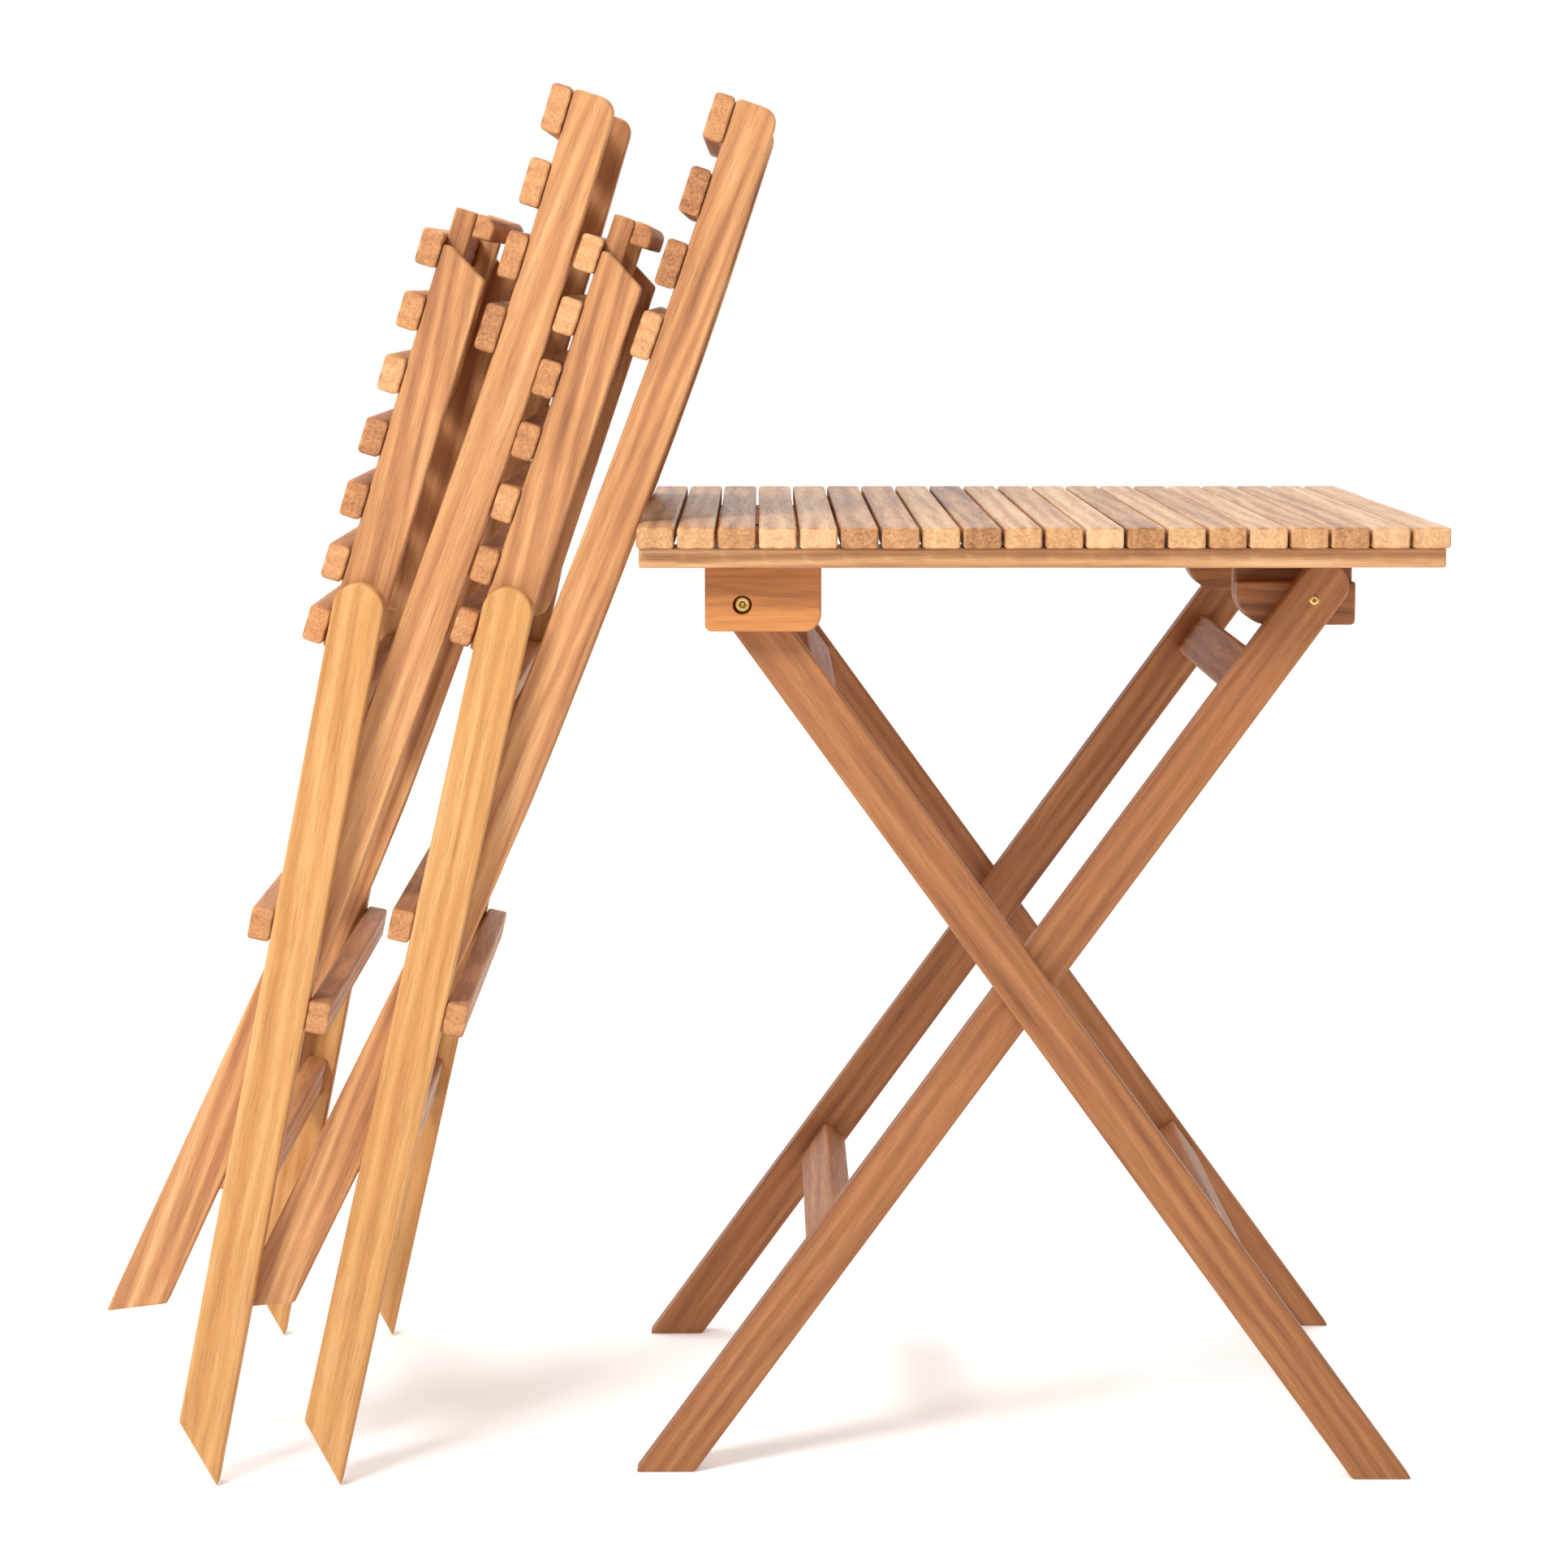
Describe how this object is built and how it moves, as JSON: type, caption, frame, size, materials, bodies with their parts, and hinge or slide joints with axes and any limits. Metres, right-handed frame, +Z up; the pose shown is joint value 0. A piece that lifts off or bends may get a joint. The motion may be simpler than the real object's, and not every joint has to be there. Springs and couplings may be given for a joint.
{
  "type": "folding patio dining set",
  "caption": "Folding slatted wooden table on crossed legs, with two folding slatted chairs stood folded against one end of its top.",
  "frame": {"origin": "on the ground, under the middle of the whole set's bounding box", "axes": "+Z up from the ground, +X from the folded chairs towards the table's free end, +Y away from the viewer along the slats"},
  "size_m": [1.0128, 0.6, 1.0659],
  "materials": {
    "slat_wood": "oiled hardwood, golden tan, long grain along each slat",
    "frame_wood": "oiled hardwood, warm tan to pink-brown legs, posts, rails and blocks",
    "bar_wood": "oiled hardwood, slightly darker cross bars",
    "brass": "yellow plated socket head bolts"
  },
  "bodies": {
    "table": {"table_top": "slat_wood", "pivot_block_front": "frame_wood", "pivot_bolt_front": "brass", "pivot_block_back": "frame_wood", "pivot_bolt_back": "brass"},
    "outer_leg_frame": {"outer_leg_front": "frame_wood", "outer_leg_back": "frame_wood", "outer_leg_bar_upper": "bar_wood", "outer_leg_bar_lower": "bar_wood"},
    "inner_leg_frame": {"inner_leg_front": "frame_wood", "inner_leg_back": "frame_wood", "inner_leg_bar_upper": "bar_wood", "inner_leg_bar_lower": "bar_wood"},
    "outer_chair_legs": {"outer_chair_leg_left": "frame_wood", "outer_chair_leg_right": "frame_wood", "outer_chair_stop_bar_front": "bar_wood", "outer_chair_stop_bar_rear": "bar_wood", "outer_chair_seat_bar": "bar_wood", "outer_chair_foot_bar": "bar_wood"},
    "outer_chair_backrest": {"outer_chair_post_left": "frame_wood", "outer_chair_post_right": "frame_wood", "outer_chair_back_slat_1": "slat_wood", "outer_chair_back_slat_2": "slat_wood", "outer_chair_back_slat_3": "slat_wood", "outer_chair_back_slat_4": "slat_wood", "outer_chair_catch_bar": "bar_wood"},
    "outer_chair_seat": {"outer_chair_seat_rail_left": "frame_wood", "outer_chair_seat_rail_right": "frame_wood", "outer_chair_hook_bar": "bar_wood", "outer_chair_seat_slat_1": "slat_wood", "outer_chair_seat_slat_2": "slat_wood", "outer_chair_seat_slat_3": "slat_wood", "outer_chair_seat_slat_4": "slat_wood", "outer_chair_seat_slat_5": "slat_wood", "outer_chair_seat_slat_6": "slat_wood", "outer_chair_seat_slat_7": "slat_wood"},
    "inner_chair_legs": {"inner_chair_leg_left": "frame_wood", "inner_chair_leg_right": "frame_wood", "inner_chair_stop_bar_front": "bar_wood", "inner_chair_stop_bar_rear": "bar_wood", "inner_chair_seat_bar": "bar_wood", "inner_chair_foot_bar": "bar_wood"},
    "inner_chair_backrest": {"inner_chair_post_left": "frame_wood", "inner_chair_post_right": "frame_wood", "inner_chair_back_slat_1": "slat_wood", "inner_chair_back_slat_2": "slat_wood", "inner_chair_back_slat_3": "slat_wood", "inner_chair_back_slat_4": "slat_wood", "inner_chair_catch_bar": "bar_wood"},
    "inner_chair_seat": {"inner_chair_seat_rail_left": "frame_wood", "inner_chair_seat_rail_right": "frame_wood", "inner_chair_hook_bar": "bar_wood", "inner_chair_seat_slat_1": "slat_wood", "inner_chair_seat_slat_2": "slat_wood", "inner_chair_seat_slat_3": "slat_wood", "inner_chair_seat_slat_4": "slat_wood", "inner_chair_seat_slat_5": "slat_wood", "inner_chair_seat_slat_6": "slat_wood", "inner_chair_seat_slat_7": "slat_wood"}
  },
  "joints": [
    {"name": "table_fold", "type": "hinge", "parent": "table", "child": "outer_leg_frame", "pos_m": [-0.0156, 0, 0.68], "axis": [0, 1, 0], "range_deg": [0, 32]},
    {"name": "table_scissor", "type": "hinge", "parent": "outer_leg_frame", "child": "inner_leg_frame", "pos_m": [0.201, 0, 0.38188], "axis": [0, 1, 0], "range_deg": [-64, 0]},
    {"name": "outer_chair_move", "type": "hinge", "parent": "table", "child": "outer_chair_legs", "pos_m": [-0.89637, 0, -0.80967], "axis": [0, -1, 0], "range_deg": [0, 60.9]},
    {"name": "inner_chair_move", "type": "hinge", "parent": "table", "child": "inner_chair_legs", "pos_m": [-0.34885, 0, -0.03887], "axis": [0, -1, 0], "range_deg": [0, 62.3]},
    {"name": "outer_chair_back_hinge", "type": "hinge", "parent": "outer_chair_legs", "child": "outer_chair_backrest", "pos_m": [-0.35871, -0.022, 0.40199], "axis": [0, 1, 0], "range_deg": [0, 67.9]},
    {"name": "outer_chair_seat_hinge", "type": "hinge", "parent": "outer_chair_legs", "child": "outer_chair_seat", "pos_m": [-0.30337, -0.022, 0.67646], "axis": [0, 1, 0], "range_deg": [0, 135]},
    {"name": "inner_chair_back_hinge", "type": "hinge", "parent": "inner_chair_legs", "child": "inner_chair_backrest", "pos_m": [-0.25388, -0.022, 0.40036], "axis": [0, 1, 0], "range_deg": [0, 67.9]},
    {"name": "inner_chair_seat_hinge", "type": "hinge", "parent": "inner_chair_legs", "child": "inner_chair_seat", "pos_m": [-0.19185, -0.022, 0.6734], "axis": [0, 1, 0], "range_deg": [0, 135]}
  ],
  "couplings": [
    {"joint": "table_scissor", "follows": "table_fold", "ratio": -2},
    {"joint": "inner_chair_move", "follows": "outer_chair_move", "ratio": 1.023},
    {"joint": "outer_chair_back_hinge", "follows": "outer_chair_move", "ratio": 1.1149},
    {"joint": "outer_chair_seat_hinge", "follows": "outer_chair_move", "ratio": 2.2167},
    {"joint": "inner_chair_back_hinge", "follows": "outer_chair_move", "ratio": 1.1149},
    {"joint": "inner_chair_seat_hinge", "follows": "outer_chair_move", "ratio": 2.2167}
  ]
}
